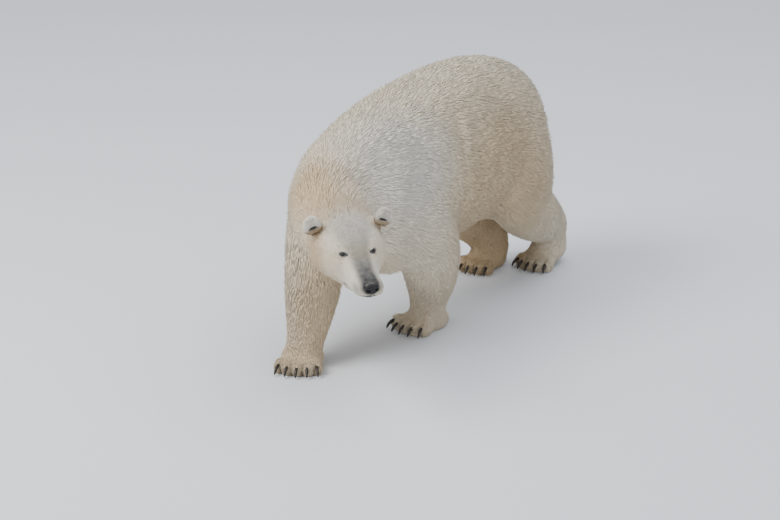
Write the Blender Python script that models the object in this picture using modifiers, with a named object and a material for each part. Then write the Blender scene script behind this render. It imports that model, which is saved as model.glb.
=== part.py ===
"""A polar bear as a still, life-size museum model, in mid-stride with its head low and turned left.

Metres, +Z up. The bear faces -Y, its left side is +X, and the floor is at Z = 0. The flesh is built
from lofts and rounded masses out to the tips of the coat and melted into one body, which thin cuts
then part into head, neck, trunk, tail, legs and paws. Ears, eyes, nose and claws are set into it.
"""

import math

import bmesh
import bpy
from mathutils import Matrix, Vector

# Melting the masses into one body: voxel sizes and rounds of softening, coarse then fine.
COARSE_VOXEL = 0.013
COARSE_ROUNDS = 30
FINE_VOXEL = 0.009
FINE_ROUNDS = 5
BODY_TRIANGLES = 3680
GAP = 0.0006  # between two pieces that meet
RING = 28  # points round a loft

# Stance: the middle of each paw on the floor, and its heading towards the bear's left in degrees.
PAW_FRONT_RIGHT = (Vector((-0.078, -1.000, 0)), 25)
PAW_FRONT_LEFT = (Vector((0.088, -0.400, 0)), -10)
PAW_HIND_RIGHT = (Vector((-0.074, 0.325, 0)), 0)
PAW_HIND_LEFT = (Vector((0.121, 0.490, 0)), -4)
HEEL_LIFT = 20  # degrees that the trailing left hind foot has rolled up off its heel

# The head: the middle of the skull between the ears, its turn to the left, its pitch and its roll.
HEAD_AT = Vector((0.207, -1.111, 0.576))
HEAD_TURN = 48.5
HEAD_PITCH = -5
HEAD_ROLL = -1.5

# Pieces set into the head, in its frame: x left, y back and z up from HEAD_AT.
EYE_AT = (0.053, -0.152, 0.037)
EYE_RADIUS = 0.0125
EAR_AT = (0.133, 0.004, 0.101)
EAR_SIZE = (0.033, 0.012, 0.040)
EAR_CUP = 0.015
NOSE_AT = (0, -0.350, -0.018)
NOSE_SIZE = (0.037, 0.019, 0.0215)

FRONT_PAW = (0.188, 0.215)
HIND_PAW = (0.172, 0.235)
TOE_SIZE = (0.0235, 0.044, 0.036)
CLAW_RADIUS = 0.0070


def clear_scene():
    for thing in list(bpy.data.objects):
        bpy.data.objects.remove(thing)


def placed(at, turn=0.0, pitch=0.0, roll=0.0):
    """Local X left, -Y ahead and Z up, turned to the bear's left by turn and tipped up by pitch."""
    turned = Matrix.Rotation(math.radians(turn), 4, "Z")
    tipped = Matrix.Rotation(-math.radians(pitch), 4, "X")
    rolled = Matrix.Rotation(math.radians(roll), 4, "Y")
    return Matrix.Translation(at) @ turned @ tipped @ rolled


HERE = Matrix.Identity(4)
HEAD_FRAME = placed(HEAD_AT, HEAD_TURN, HEAD_PITCH, HEAD_ROLL)


# ---- Lofts, masses and cuts ----


def eased(rows, steps):
    """Rows of numbers with smooth ones added between each two (Catmull-Rom)."""
    ends = [rows[0], *rows, rows[-1]]
    found = []
    for before, start, stop, after in zip(ends, ends[1:], ends[2:], ends[3:]):
        for step in range(steps):
            t = step / steps
            found.append([
                b + 0.5 * t * (c - a + t * (2 * a - 5 * b + 4 * c - d + t * (3 * (b - c) + d - a)))
                for a, b, c, d in zip(before, start, stop, after)
            ])
    return [*found, list(rows[-1])]


def level_left(forward):
    """The left of something that travels about level."""
    return Vector((0, 0, 1)).cross(forward).normalized()


def limb_left(turn):
    """The left of a limb that goes down to a paw with this heading."""
    hint = Vector((math.cos(math.radians(turn)), math.sin(math.radians(turn)), 0))
    return lambda forward: (hint - forward * hint.dot(forward)).normalized()


def loft(mesh, rows, left_of, steps=5, frame=HERE, ring_points=RING):
    """A closed tube through sections (x, y, z, half width, rise, drop, squareness)."""
    dense = eased(rows, steps)
    centres = [Vector(row[:3]) for row in dense]
    rings = []
    for i, (_, _, _, wide, rise, drop, square) in enumerate(dense):
        forward = (centres[min(i + 1, len(dense) - 1)] - centres[max(i - 1, 0)]).normalized()
        left = left_of(forward)
        up = forward.cross(left)
        ring = []
        for k in range(ring_points):
            c, s = math.cos(math.tau * k / ring_points), math.sin(math.tau * k / ring_points)
            across = wide * math.copysign(abs(c) ** (2 / square), c)
            height = (rise if s > 0 else drop) * math.copysign(abs(s) ** (2 / square), s)
            ring.append(mesh.verts.new(frame @ (centres[i] + left * across + up * height)))
        rings.append(ring)
    for near, far in zip(rings, rings[1:]):
        for k in range(ring_points):
            n = (k + 1) % ring_points
            mesh.faces.new((near[k], near[n], far[n], far[k]))
    mesh.faces.new(rings[0][::-1])
    mesh.faces.new(rings[-1])


def mass(mesh, frame, at, radii, turn=0.0, pitch=0.0, roll=0.0, rounds=24):
    """A rounded mass: an ellipsoid at a place in a frame."""
    matrix = frame @ placed(Vector(at), turn, pitch, roll) @ Matrix.Diagonal((*radii, 1))
    bmesh.ops.create_uvsphere(mesh, u_segments=rounds, v_segments=rounds // 2, radius=1, matrix=matrix)


def block(mesh, frame, low, high):
    """A box between two corners of a frame."""
    low, high = Vector(low), Vector(high)
    matrix = frame @ Matrix.Translation((low + high) / 2) @ Matrix.Diagonal((*(high - low), 1))
    bmesh.ops.create_cube(mesh, size=1, matrix=matrix)


def object_of(mesh, name):
    data = bpy.data.meshes.new(name)
    mesh.to_mesh(data)
    mesh.free()
    made = bpy.data.objects.new(name, data)
    bpy.context.scene.collection.objects.link(made)
    return made


def settled(thing):
    """The object with its modifiers applied."""
    bpy.context.view_layer.update()
    graph = bpy.context.evaluated_depsgraph_get()
    data = bpy.data.meshes.new_from_object(thing.evaluated_get(graph))
    thing.modifiers.clear()
    thing.data = data
    return thing


def melted(thing, voxel, rounds):
    """The object remade as one closed surface and softened."""
    melt = thing.modifiers.new("melt", "REMESH")
    melt.mode = "VOXEL"
    melt.voxel_size = voxel
    soften = thing.modifiers.new("soften", "SMOOTH")
    soften.factor = 0.5
    soften.iterations = rounds
    return settled(thing)


def copy_of(thing, name):
    made = bpy.data.objects.new(name, thing.data.copy())
    bpy.context.scene.collection.objects.link(made)
    return made


def combined(thing, other, operation="DIFFERENCE", grown=0.0):
    """One exact Boolean on the object. A cutter can be grown first, to leave a gap round what fills it."""
    tool = copy_of(other, "tool")
    if grown:
        swell = tool.modifiers.new("swell", "DISPLACE")
        swell.strength = grown
        swell.mid_level = 0
        settled(tool)
    boolean = thing.modifiers.new("cut", "BOOLEAN")
    boolean.operation = operation
    boolean.solver = "EXACT"
    boolean.object = tool
    settled(thing)
    bpy.data.objects.remove(tool)
    return thing


# ---- The flesh, out to the tips of the coat ----

SPINE = [
    # x, y, z, half width, rise, drop, squareness: from the rump to the nape
    (0.000, 0.455, 0.655, 0.050, 0.080, 0.080, 2.0),
    (0.000, 0.430, 0.652, 0.120, 0.148, 0.155, 2.0),
    (0.000, 0.370, 0.650, 0.185, 0.222, 0.235, 2.1),
    (0.000, 0.280, 0.647, 0.238, 0.286, 0.322, 2.1),
    (-0.004, 0.120, 0.642, 0.272, 0.332, 0.352, 2.1),
    (-0.010, -0.100, 0.637, 0.290, 0.348, 0.344, 2.1),
    (-0.012, -0.320, 0.632, 0.294, 0.342, 0.338, 2.1),
    (-0.008, -0.520, 0.632, 0.282, 0.322, 0.310, 2.1),
    (0.000, -0.690, 0.640, 0.255, 0.288, 0.255, 2.1),
    (0.005, -0.820, 0.642, 0.222, 0.244, 0.232, 2.1),
    (0.030, -0.925, 0.630, 0.192, 0.200, 0.200, 2.0),
    (0.090, -1.010, 0.612, 0.170, 0.162, 0.176, 2.0),
    (0.150, -1.062, 0.594, 0.154, 0.130, 0.160, 2.0),
    (0.200, -1.100, 0.580, 0.132, 0.106, 0.136, 2.0),
]

SKULL = [
    # x, y, z, half width, rise, drop, squareness: from the nape to the tip of the nose
    (0, 0.130, 0.000, 0.128, 0.112, 0.122, 2.0),
    (0, 0.060, -0.002, 0.139, 0.118, 0.126, 2.0),
    (0, 0.000, -0.004, 0.142, 0.115, 0.122, 2.0),
    (0, -0.060, -0.010, 0.134, 0.110, 0.112, 2.1),
    (0, -0.115, -0.018, 0.110, 0.096, 0.098, 2.1),
    (0, -0.160, -0.026, 0.083, 0.080, 0.082, 2.2),
    (0, -0.205, -0.032, 0.065, 0.064, 0.068, 2.4),
    (0, -0.255, -0.037, 0.057, 0.053, 0.052, 2.5),
    (0, -0.305, -0.039, 0.053, 0.047, 0.034, 2.5),
    (0, -0.335, -0.038, 0.046, 0.041, 0.025, 2.4),
    (0, -0.352, -0.036, 0.033, 0.029, 0.018, 2.2),
]

# Half width, front and back of a front leg at the shoulder, upper arm, elbow, forearm, wrist and paw.
FRONT_GIRTHS = [
    (0.090, 0.110, 0.130),
    (0.120, 0.135, 0.150),
    (0.127, 0.125, 0.178),
    (0.120, 0.109, 0.138),
    (0.098, 0.086, 0.096),
    (0.081, 0.072, 0.079),
    (0.079, 0.072, 0.079),
]
FRONT_RIGHT_JOINTS = [
    (-0.150, -0.690, 0.740),
    (-0.170, -0.745, 0.560),
    (-0.146, -0.800, 0.420),
    (-0.112, -0.872, 0.290),
    (-0.084, -0.940, 0.175),
    (-0.076, -0.972, 0.110),
    (-0.084, -0.990, 0.055),
]
FRONT_LEFT_JOINTS = [
    (0.150, -0.700, 0.740),
    (0.184, -0.720, 0.560),
    (0.208, -0.600, 0.420),
    (0.180, -0.505, 0.290),
    (0.132, -0.430, 0.175),
    (0.112, -0.404, 0.110),
    (0.096, -0.398, 0.055),
]
# The same of a hind leg at the hip, thigh, knee, shank, hock and ankle.
HIND_GIRTHS = [
    (0.118, 0.150, 0.160),
    (0.130, 0.175, 0.190),
    (0.124, 0.140, 0.172),
    (0.104, 0.126, 0.126),
    (0.086, 0.098, 0.090),
    (0.076, 0.080, 0.080),
]
HIND_RIGHT_JOINTS = [
    (-0.140, 0.180, 0.720),
    (-0.155, 0.150, 0.540),
    (-0.158, 0.120, 0.390),
    (-0.130, 0.265, 0.245),
    (-0.088, 0.380, 0.130),
    (-0.078, 0.378, 0.070),
]
HIND_LEFT_JOINTS = [
    (0.140, 0.180, 0.720),
    (0.162, 0.180, 0.530),
    (0.168, 0.195, 0.365),
    (0.156, 0.350, 0.262),
    (0.134, 0.482, 0.186),
    (0.126, 0.525, 0.115),
]


def limb(mesh, joints, girths, turn):
    loft(mesh, [(*place, *girth, 2.1) for place, girth in zip(joints, girths)], limb_left(turn))


def add_head(mesh):
    """The skull and muzzle, with cheeks, brows and the swellings that carry the ears."""
    loft(mesh, SKULL, level_left, frame=HEAD_FRAME)
    for side in (-1, 1):
        mass(mesh, HEAD_FRAME, (side * 0.082, -0.010, -0.026), (0.064, 0.100, 0.068))
        mass(mesh, HEAD_FRAME, (side * 0.048, -0.112, 0.036), (0.036, 0.060, 0.030), turn=side * 12, pitch=-14)
        mass(mesh, HEAD_FRAME, (side * 0.110, 0.014, 0.058), (0.034, 0.028, 0.034))


class Paw:
    """A paw: its frame on the floor, its size, and its toes in an arc."""

    def __init__(self, name, stance, size, heel_lift=0.0):
        self.name = name
        self.frame = placed(*stance)
        self.turn = stance[1]
        self.width, self.length = size
        hinge = Matrix.Translation((0, -0.24 * self.length, 0.012))
        self.heel_frame = self.frame @ hinge @ placed((0, 0, 0), 0, -heel_lift) @ hinge.inverted()

    def toes(self):
        """The middle and the splay of each toe, from the bear's right to its left."""
        for place in (-1, -0.52, 0, 0.52, 1):
            reach = 0.40 * self.length - 0.125 * self.width * place**2
            yield (0.385 * self.width * place, -reach, 0.024), 17 * place

    def add_flesh(self, mesh):
        half = self.width / 2
        mass(mesh, self.heel_frame, (0, 0.02, 0.030), (0.92 * half, 0.46 * self.length, 0.050))
        mass(mesh, self.heel_frame, (0, 0.10 * self.length, 0.050), (0.78 * half, 0.36 * self.length, 0.056))
        if self.name.startswith("hind"):
            mass(mesh, self.heel_frame, (0, 0.33 * self.length, 0.072), (0.76 * half, 0.062, 0.070))
        for toe, splay in self.toes():
            mass(mesh, self.frame, toe, TOE_SIZE, turn=splay, rounds=16)


PAWS = [
    Paw("front_right", PAW_FRONT_RIGHT, FRONT_PAW),
    Paw("front_left", PAW_FRONT_LEFT, FRONT_PAW),
    Paw("hind_right", PAW_HIND_RIGHT, HIND_PAW),
    Paw("hind_left", PAW_HIND_LEFT, HIND_PAW, HEEL_LIFT),
]


def whole_bear():
    """All the flesh melted into one closed surface, thinned and flat where it meets the floor."""
    mesh = bmesh.new()
    loft(mesh, SPINE, level_left)
    for side in (-1, 1):
        mass(mesh, HERE, (side * 0.140, 0.185, 0.580), (0.138, 0.205, 0.270), pitch=-8)
        mass(mesh, HERE, (side * 0.150, -0.735, 0.580), (0.132, 0.175, 0.250), pitch=12)
        mass(mesh, HERE, (side * 0.158, 0.150, 0.470), (0.108, 0.175, 0.160), pitch=-12)
    mass(mesh, HERE, (0, -0.200, 0.450), (0.222, 0.350, 0.155))
    limb(mesh, FRONT_RIGHT_JOINTS, FRONT_GIRTHS, PAW_FRONT_RIGHT[1])
    limb(mesh, FRONT_LEFT_JOINTS, FRONT_GIRTHS, PAW_FRONT_LEFT[1])
    limb(mesh, HIND_RIGHT_JOINTS, HIND_GIRTHS, PAW_HIND_RIGHT[1])
    limb(mesh, HIND_LEFT_JOINTS, HIND_GIRTHS, PAW_HIND_LEFT[1])
    bear = melted(object_of(mesh, "bear"), COARSE_VOXEL, COARSE_ROUNDS)

    mesh = bmesh.new()
    mesh.from_mesh(bear.data)
    add_head(mesh)
    mass(mesh, HERE, (0, 0.462, 0.705), (0.040, 0.034, 0.075), pitch=-20)
    for paw in PAWS:
        paw.add_flesh(mesh)
    bpy.data.objects.remove(bear)
    bear = melted(object_of(mesh, "bear"), FINE_VOXEL, FINE_ROUNDS)

    bear.data.calc_loop_triangles()
    thin = bear.modifiers.new("thin", "DECIMATE")
    thin.ratio = BODY_TRIANGLES / len(bear.data.loop_triangles)
    thin.use_collapse_triangulate = True
    settled(bear)
    mesh = bmesh.new()
    block(mesh, HERE, (-2, -3, -1), (2, 3, 0))
    ground = object_of(mesh, "ground")
    combined(bear, ground)
    bpy.data.objects.remove(ground)
    return bear


# ---- The parting of the body ----

# Where a leg leaves the trunk: a rounded cap (middle, radii), and a box (low, high) round all below it.
LEG_ZONES = {
    "front_right": ((-0.125, -0.850, 0.345), (0.180, 0.225, 0.165), (-0.5, -1.5, -0.1), (0.5, -0.705, 0.262)),
    "front_left": ((0.175, -0.545, 0.335), (0.185, 0.255, 0.162), (-0.5, -0.705, -0.1), (0.5, -0.250, 0.262)),
    "hind_right": ((-0.145, 0.215, 0.350), (0.170, 0.275, 0.185), (-0.5, -0.150, -0.1), (0.021, 0.800, 0.262)),
    "hind_left": ((0.160, 0.280, 0.350), (0.165, 0.320, 0.190), (0.021, -0.150, -0.1), (0.5, 0.800, 0.262)),
}
NECK_CUT = placed((0, -0.875, 0.670), 0, 21)
HEAD_CUT_Y = 0.088
WRIST_CUT_Z = 0.096


def zone(name, *adders):
    """A closed volume that some masses and blocks make together."""
    made = None
    for adder in adders:
        mesh = bmesh.new()
        adder(mesh)
        piece = object_of(mesh, name)
        if made:
            combined(made, piece, "UNION")
            bpy.data.objects.remove(piece)
        else:
            made = piece
    return made


def parted(whole, region, name):
    """Takes what is inside the region off the whole, leaving a thin gap."""
    piece = copy_of(whole, name)
    combined(piece, region, "INTERSECT")
    combined(whole, region, "DIFFERENCE", GAP)
    bpy.data.objects.remove(region)
    return piece


def part_the_body(bear):
    pieces = {}
    for paw in PAWS:
        cap_at, cap_radii, low, high = LEG_ZONES[paw.name]
        region = zone(
            "zone",
            lambda mesh: mass(mesh, HERE, cap_at, cap_radii, rounds=12),
            lambda mesh: block(mesh, HERE, low, high),
        )
        leg = parted(bear, region, "leg_" + paw.name)
        region = zone("zone", lambda mesh: block(mesh, paw.heel_frame, (-0.3, -0.4, -0.3), (0.3, 0.4, WRIST_CUT_Z)))
        pieces["paw_" + paw.name] = parted(leg, region, "paw_" + paw.name)
        pieces["leg_" + paw.name] = leg
    region = zone("zone", lambda mesh: block(mesh, HEAD_FRAME, (-0.25, -0.5, -0.25), (0.25, HEAD_CUT_Y, 0.25)))
    pieces["head"] = parted(bear, region, "head")
    region = zone("zone", lambda mesh: block(mesh, NECK_CUT, (-0.4, -0.6, -0.5), (0.4, 0, 0.5)))
    pieces["neck"] = parted(bear, region, "neck")
    region = zone("zone", lambda mesh: mass(mesh, HERE, (0, 0.478, 0.700), (0.056, 0.046, 0.092), pitch=-20, rounds=14))
    pieces["tail"] = parted(bear, region, "tail")
    bear.name = "trunk"
    pieces["trunk"] = bear
    return pieces


# ---- The pieces set into the flesh ----


def set_in(host, maker, *where):
    """Makes a piece and gives it a socket a little larger than itself in its host."""
    socket = maker(*where, GAP)
    combined(host, socket)
    bpy.data.objects.remove(socket)
    return maker(*where, 0)


def make_eye(side, grown):
    mesh = bmesh.new()
    x, y, z = EYE_AT
    mass(mesh, HEAD_FRAME, (side * x, y, z), (EYE_RADIUS + grown,) * 3, rounds=12)
    return object_of(mesh, "eye")


def make_ear(side, grown):
    """A thick rounded plate, cupped forwards."""
    mesh = bmesh.new()
    bmesh.ops.create_uvsphere(mesh, u_segments=12, v_segments=8, radius=1)
    x, y, z = EAR_AT
    frame = HEAD_FRAME @ placed((side * x, y, z), side * 8, -6, side * 15)
    for vert in mesh.verts:
        wide, thick, tall = vert.co
        rim = wide**2 + tall**2
        deep = (EAR_SIZE[1] + 2 * grown) * thick * (1.15 - 0.45 * rim) - EAR_CUP * rim
        vert.co = frame @ Vector(((EAR_SIZE[0] + grown) * wide, deep, (EAR_SIZE[2] + grown) * tall))
    return object_of(mesh, "ear")


def make_nose(grown):
    """The bare pad on the end of the muzzle, squarish and broader above."""
    mesh = bmesh.new()
    bmesh.ops.create_uvsphere(mesh, u_segments=14, v_segments=8, radius=1)
    across, deep, tall = (size + grown for size in NOSE_SIZE)
    for vert in mesh.verts:
        x, y, z = vert.co
        square = min(max(abs(x), abs(z), 0.5) ** -0.22, 1.12)
        size = Vector((across * x * square * (0.80 + 0.24 * z), deep * y, tall * z * square))
        vert.co = HEAD_FRAME @ (Vector(NOSE_AT) + size)
    return object_of(mesh, "nose")


def make_claw(paw, toe, splay, grown):
    """A claw that leaves the top of the toe and curves down to just above the floor."""
    mesh = bmesh.new()
    frame = paw.frame @ placed((toe[0], toe[1], 0), splay)
    curve = [
        # y, z, share of the full radius
        (-0.022 + grown, 0.030, 1.00),
        (-0.042, 0.034, 1.00),
        (-0.056, 0.027, 0.86),
        (-0.065, 0.016, 0.58),
        (-0.069, 0.007, 0.22),
    ]
    rows = []
    for y, z, share in curve:
        radius = CLAW_RADIUS * share
        rows.append((0, y, z, 0.90 * radius + grown, 1.15 * radius + grown, radius + grown, 2.0))
    loft(mesh, rows, level_left, steps=1, frame=frame, ring_points=5)
    return object_of(mesh, "claw")


COAT = ("coat", (0.78, 0.72, 0.60), 0.9)
HORN = ("horn", (0.035, 0.030, 0.028), 0.45)
PAD = ("pad", (0.012, 0.012, 0.013), 0.5)
EYE = ("eye", (0.018, 0.012, 0.009), 0.12)


def finished(piece, name, look, model):
    """Names the piece, gives it its own material and puts it in the model's collection."""
    piece.name = name
    piece.data.name = name
    kind, colour, roughness = look
    material = bpy.data.materials.new(name + "_" + kind)
    material.use_nodes = True
    surface = material.node_tree.nodes["Principled BSDF"]
    surface.inputs["Base Color"].default_value = (*colour, 1)
    surface.inputs["Roughness"].default_value = roughness
    piece.data.materials.clear()
    piece.data.materials.append(material)
    bpy.context.scene.collection.objects.unlink(piece)
    model.objects.link(piece)


def build():
    clear_scene()
    pieces = part_the_body(whole_bear())
    looks = {name: COAT for name in pieces}
    for side, word in ((-1, "right"), (1, "left")):
        for kind, maker, look in (("ear", make_ear, COAT), ("eye", make_eye, EYE)):
            name = f"{kind}_{word}"
            pieces[name] = set_in(pieces["head"], maker, side)
            looks[name] = look
    pieces["nose"] = set_in(pieces["head"], make_nose)
    looks["nose"] = PAD
    for paw in PAWS:
        for number, (toe, splay) in enumerate(paw.toes(), 1):
            name = f"claw_{paw.name}_{number}"
            pieces[name] = set_in(pieces["paw_" + paw.name], make_claw, paw, toe, splay)
            looks[name] = HORN
    model = bpy.data.collections.new("polar_bear")
    bpy.context.scene.collection.children.link(model)
    points = [vert.co for piece in pieces.values() for vert in piece.data.vertices]
    low = [min(point[axis] for point in points) for axis in range(3)]
    high = [max(point[axis] for point in points) for axis in range(3)]
    to_origin = Matrix.Translation((-(low[0] + high[0]) / 2, -(low[1] + high[1]) / 2, -low[2]))
    for name, piece in pieces.items():
        piece.data.transform(to_origin)
        finished(piece, name, looks[name], model)
    return to_origin


TO_ORIGIN = build()
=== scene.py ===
import math

import bpy
import numpy as np
from mathutils import Matrix, Vector, noise
from mathutils.bvhtree import BVHTree
from mathutils.kdtree import KDTree


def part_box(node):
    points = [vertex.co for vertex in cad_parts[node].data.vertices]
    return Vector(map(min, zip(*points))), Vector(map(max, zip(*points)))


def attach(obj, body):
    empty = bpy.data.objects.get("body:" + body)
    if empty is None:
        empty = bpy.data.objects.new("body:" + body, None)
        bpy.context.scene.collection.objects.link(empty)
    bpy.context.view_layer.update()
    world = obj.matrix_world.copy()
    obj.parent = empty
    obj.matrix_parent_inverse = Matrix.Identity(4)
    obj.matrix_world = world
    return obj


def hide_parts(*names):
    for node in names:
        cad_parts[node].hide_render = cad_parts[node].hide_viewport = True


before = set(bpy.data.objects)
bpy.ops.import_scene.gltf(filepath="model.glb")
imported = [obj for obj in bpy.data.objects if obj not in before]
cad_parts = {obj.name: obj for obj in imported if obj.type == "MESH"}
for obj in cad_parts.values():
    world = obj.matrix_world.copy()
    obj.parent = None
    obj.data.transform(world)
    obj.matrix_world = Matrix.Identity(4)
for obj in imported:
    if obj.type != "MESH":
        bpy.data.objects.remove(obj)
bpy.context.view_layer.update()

# ---- The head's own axes ----
# The features of the face are laid out from the skull: x to the bear's left, y back and z up, from
# a point between the ears. The eyes and the nose say where the skull is and how it is turned.

EYE_AHEAD = 0.152
EYE_ABOVE = 0.037
EYES_TO_NOSE_DROP = math.radians(15.5)


def middle(node):
    """The mean of a node's separate corners."""
    corners = {tuple(round(value, 5) for value in vert.co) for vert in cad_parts[node].data.vertices}
    return sum((Vector(corner) for corner in sorted(corners)), Vector()) / len(corners)


eyes = {side: middle("eye_" + side) for side in ("right", "left")}
head_left = (eyes["left"] - eyes["right"] + middle("ear_left") - middle("ear_right")).normalized()
between_eyes = (eyes["left"] + eyes["right"]) / 2
to_nose = middle("nose") - between_eyes
to_nose = (to_nose - head_left * to_nose.dot(head_left)).normalized()
head_back = -(Matrix.Rotation(EYES_TO_NOSE_DROP, 3, -head_left) @ to_nose)
head_up = head_left.cross(head_back)
HEAD = Matrix((head_left, head_back, head_up)).transposed().to_4x4()
HEAD.translation = between_eyes + EYE_AHEAD * head_back - EYE_ABOVE * head_up
TO_HEAD = HEAD.inverted()


def in_head(points):
    """Points of the row's frame, in the head's own axes."""
    return points @ np.array(TO_HEAD)[:3, :3].T + np.array(TO_HEAD)[:3, 3]


# ---- Skin ----
# One hide over head, neck, trunk, tail, legs and paws, with no seam. It lies under the coat by the
# coat's depth: a few millimetres on the muzzle and the paws, and a hand's thickness on the body.

FLESH = ("head", "neck", "trunk", "tail", "leg", "paw")
SKIN_OVERLAP = 0.0008  # closes the thin cuts between the flesh nodes
SKIN_VOXEL = 0.011
SKULL_BACK = 0.075  # y in the head's axes, up to which the hide is finer
SKULL_REACH = 0.42
FACE_BACK = -0.085  # up to here it is finer again
HEAD_SOFTENING = 6
BODY_SOFTENING = 46
FEET_SOFTENING = 3


def apply_modifiers(thing):
    bpy.ops.object.select_all(action="DESELECT")
    thing.select_set(True)
    bpy.context.view_layer.objects.active = thing
    for modifier in list(thing.modifiers):
        bpy.ops.object.modifier_apply(modifier=modifier.name)


def points_of(mesh):
    flat = np.empty(len(mesh.vertices) * 3, np.float32)
    mesh.vertices.foreach_get("co", flat)
    return flat.reshape(-1, 3).astype(float)


def normals_of(mesh):
    flat = np.empty(len(mesh.vertices) * 3, np.float32)
    mesh.vertices.foreach_get("normal", flat)
    return flat.reshape(-1, 3).astype(float)


def set_points(mesh, points):
    mesh.vertices.foreach_set("co", points.astype(np.float32).ravel())
    mesh.update()


def edges_of(mesh):
    flat = np.empty(len(mesh.edges) * 2, np.int32)
    mesh.edges.foreach_get("vertices", flat)
    return flat.reshape(-1, 2)


def spread(values, edges, rounds, share=0.5):
    """Values at the skin's points, each blended with its neighbours a number of times."""
    values = values.reshape(len(values), -1).astype(float)
    near = np.bincount(edges.ravel(), minlength=len(values))[:, None]
    for _ in range(rounds):
        around = np.empty_like(values)
        for axis in range(values.shape[1]):
            one = values[:, axis]
            around[:, axis] = np.bincount(edges[:, 0], one[edges[:, 1]], len(one))
            around[:, axis] += np.bincount(edges[:, 1], one[edges[:, 0]], len(one))
        values = values * (1 - share) + share * around / np.maximum(near, 1)
    return values


def step(low, high, value):
    """0 below low, 1 above high and smooth between."""
    t = np.clip((value - low) / (high - low), 0, 1)
    return t * t * (3 - 2 * t)


bpy.ops.object.select_all(action="DESELECT")
flesh_nodes = sorted(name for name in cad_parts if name.split("_")[0] in FLESH)
corners = []
triangles = []
triangle_nodes = []
for name in flesh_nodes:
    part = bpy.data.objects.new("bear_skin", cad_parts[name].data.copy())
    bpy.context.scene.collection.objects.link(part)
    part.select_set(True)
    bpy.context.view_layer.objects.active = part
    for polygon in part.data.polygons:
        triangles.append([len(corners) + place for place in range(3)])
        corners.extend(part.data.vertices[index].co[:] for index in polygon.vertices)
        triangle_nodes.append(name)
flesh_tree = BVHTree.FromPolygons(corners, triangles)
bpy.ops.object.join()
skin = bpy.context.view_layer.objects.active
skin.name = "bear_skin"
skin.data.materials.clear()
bpy.ops.object.mode_set(mode="EDIT")
bpy.ops.mesh.select_all(action="SELECT")
bpy.ops.mesh.remove_doubles(threshold=0.00002)
bpy.ops.object.mode_set(mode="OBJECT")
fatten = skin.modifiers.new("fatten", "DISPLACE")
fatten.strength = SKIN_OVERLAP
fatten.mid_level = 0
join = skin.modifiers.new("join", "REMESH")
join.mode = "VOXEL"
join.voxel_size = SKIN_VOXEL
apply_modifiers(skin)

skin_points = points_of(skin.data)
skin_edges = edges_of(skin.data)
skin_regions = np.array([triangle_nodes[flesh_tree.find_nearest(Vector(point))[2]] for point in skin_points])


def share_of(*nodes):
    """1 on these flesh nodes' skin and 0 elsewhere, softened where they meet."""
    return spread(np.isin(skin_regions, nodes), skin_edges, 8)[:, 0]


legs = [name for name in flesh_nodes if name.startswith("leg_")]
paws = [name for name in flesh_nodes if name.startswith("paw_")]
on_head = share_of("head")
on_feet = share_of(*paws) * step(0.115, 0.055, skin_points[:, 2])
for name, kept, rounds in (
    ("broad", 1 - on_head - on_feet, BODY_SOFTENING),
    ("fine", on_head, HEAD_SOFTENING),
    ("feet", on_feet, FEET_SOFTENING),
):
    group = skin.vertex_groups.new(name=name)
    for index, weight in enumerate(kept):
        group.add([index], float(min(max(weight, 0), 1)), "REPLACE")
    soften = skin.modifiers.new(name, "SMOOTH")
    soften.vertex_group = name
    soften.iterations = rounds
apply_modifiers(skin)
outer_points = points_of(skin.data)
outer_normals = spread(normals_of(skin.data), skin_edges, 3)
outer_normals /= np.linalg.norm(outer_normals, axis=1)[:, None]

# How deep the coat is over each part, in metres.
TRUNK_COAT = 0.027
NECK_COAT = 0.026
TAIL_COAT = 0.016
LEG_COAT = (0.006, 0.022)  # on the paws and at the elbow
HEAD_COAT = (
    # y in the head's axes, depth
    (-0.36, 0.0015),
    (-0.30, 0.0025),
    (-0.22, 0.0040),
    (-0.15, 0.0060),
    (-0.07, 0.0100),
    (0.02, 0.0140),
    (0.10, 0.0200),
)


def coat_depth(points, regions):
    """The coat's depth at points of the flesh."""
    head_y = in_head(points)[:, 1]
    depth = np.full(len(points), TRUNK_COAT)
    depth[regions == "neck"] = NECK_COAT
    depth[regions == "tail"] = TAIL_COAT
    low, high = LEG_COAT
    on_leg = np.isin(regions, legs + paws)
    depth[on_leg] = (low + (high - low) * step(0.05, 0.36, points[:, 2]))[on_leg]
    around_face = np.interp(head_y, *zip(*HEAD_COAT))
    depth[regions == "head"] = around_face[regions == "head"]
    return depth


depth = spread(coat_depth(outer_points, skin_regions), skin_edges, 24)[:, 0]
sole = step(-0.55, -0.85, outer_normals[:, 2]) * step(0.03, 0.012, outer_points[:, 2])
set_points(skin.data, outer_points - outer_normals * (depth * (1 - 0.9 * sole))[:, None])
settle = skin.modifiers.new("settle", "SMOOTH")
settle.iterations = 2
settle.factor = 0.3
apply_modifiers(skin)


def edit_faces(thing, chosen):
    """Edit mode on a mesh with only the chosen faces selected."""
    bpy.ops.object.select_all(action="DESELECT")
    thing.select_set(True)
    bpy.context.view_layer.objects.active = thing
    bpy.ops.object.mode_set(mode="EDIT")
    bpy.ops.mesh.select_mode(type="FACE")
    bpy.ops.mesh.select_all(action="DESELECT")
    bpy.ops.object.mode_set(mode="OBJECT")
    thing.data.polygons.foreach_set("select", chosen)
    bpy.ops.object.mode_set(mode="EDIT")


def on_skull(middles):
    at = in_head(middles)
    return (at[:, 1] < SKULL_BACK) & (np.linalg.norm(at, axis=1) < SKULL_REACH) & (np.abs(at[:, 0]) < 0.17)


def on_face(middles):
    return on_skull(middles) & (in_head(middles)[:, 1] < FACE_BACK)


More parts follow.
